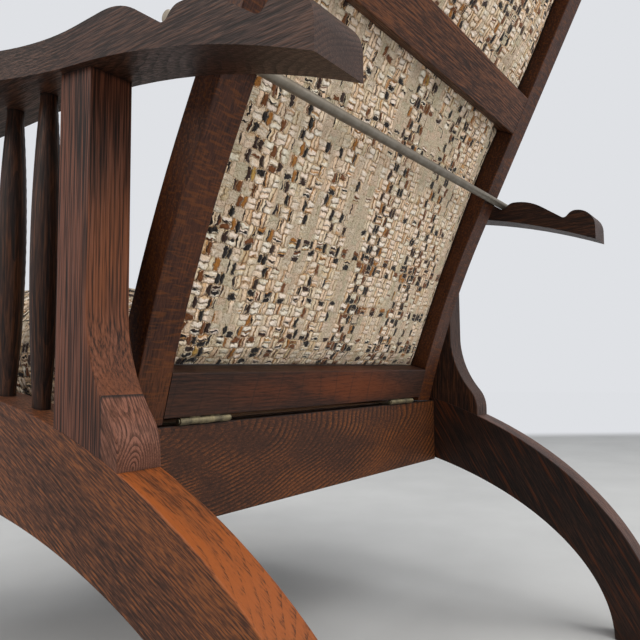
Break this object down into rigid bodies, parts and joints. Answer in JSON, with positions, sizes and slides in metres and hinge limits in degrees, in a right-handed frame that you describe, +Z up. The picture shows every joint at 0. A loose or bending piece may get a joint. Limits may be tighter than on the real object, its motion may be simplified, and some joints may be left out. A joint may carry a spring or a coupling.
{
  "type": "reclining armchair",
  "caption": "Reclining armchair with arched side runners, spindles under broad arms, notched racks, a steel support rod and a hinged padded back.",
  "frame": {"origin": "on the floor, midway between the two sides and midway between the ends of the arched runners", "axes": "+X to the sitter's left, +Y to the rear of the chair (it faces -Y), +Z up"},
  "size_m": [0.762, 1.07, 0.9609],
  "materials": {
    "oak": "satin",
    "slat_wood": "matte",
    "tweed": "matte",
    "rod_steel": "satin",
    "screw_steel": "satin",
    "brass": "satin"
  },
  "bodies": {
    "frame": {"cleat_screws": "screw_steel", "fixed_hinge_screws": "brass", "front_seat_rail": "oak", "left_arch": "oak", "left_arm": "oak", "left_fixed_hinge_leaf": "brass", "left_front_foot_block": "oak", "left_front_post": "oak", "left_hinge_pin": "brass", "left_rear_foot_block": "oak", "left_rear_post": "oak", "left_seat_cleat": "slat_wood", "left_spindle_1": "oak", "left_spindle_2": "oak", "left_spindle_3": "oak", "left_spindle_4": "oak", "left_spindle_5": "oak", "left_spindle_6": "oak", "left_spindle_7": "oak", "rail_dowels": "oak", "rear_seat_rail": "oak", "right_arch": "oak", "right_arm": "oak", "right_fixed_hinge_leaf": "brass", "right_front_foot_block": "oak", "right_front_post": "oak", "right_hinge_pin": "brass", "right_rear_foot_block": "oak", "right_rear_post": "oak", "right_seat_cleat": "slat_wood", "right_spindle_1": "oak", "right_spindle_2": "oak", "right_spindle_3": "oak", "right_spindle_4": "oak", "right_spindle_5": "oak", "right_spindle_6": "oak", "right_spindle_7": "oak", "seat_cushion": "tweed", "seat_slat_1": "slat_wood", "seat_slat_2": "slat_wood", "seat_slat_3": "slat_wood", "seat_slat_4": "slat_wood", "seat_slat_5": "slat_wood", "seat_slat_6": "slat_wood"},
    "back": {"back_bottom_rail": "oak", "back_cushion": "tweed", "back_dowels": "oak", "back_middle_rail": "oak", "back_top_rail": "oak", "left_back_stile": "oak", "left_moving_hinge_leaf": "brass", "lower_back_panel": "tweed", "moving_hinge_screws": "brass", "right_back_stile": "oak", "right_moving_hinge_leaf": "brass", "upper_back_panel": "tweed"},
    "rod": {"support_rod": "rod_steel"}
  },
  "joints": [
    {"name": "back_recline", "type": "hinge", "parent": "frame", "child": "back", "pos_m": [0, 0.2295, 0.30436], "axis": [1, 0, 0], "range_deg": [0, 15]},
    {"name": "rod_shift", "type": "hinge", "parent": "frame", "child": "rod", "pos_m": [0, 0.38723, 0.56029], "axis": [-1, 0, 0], "range_deg": [0, 141.81]}
  ]
}
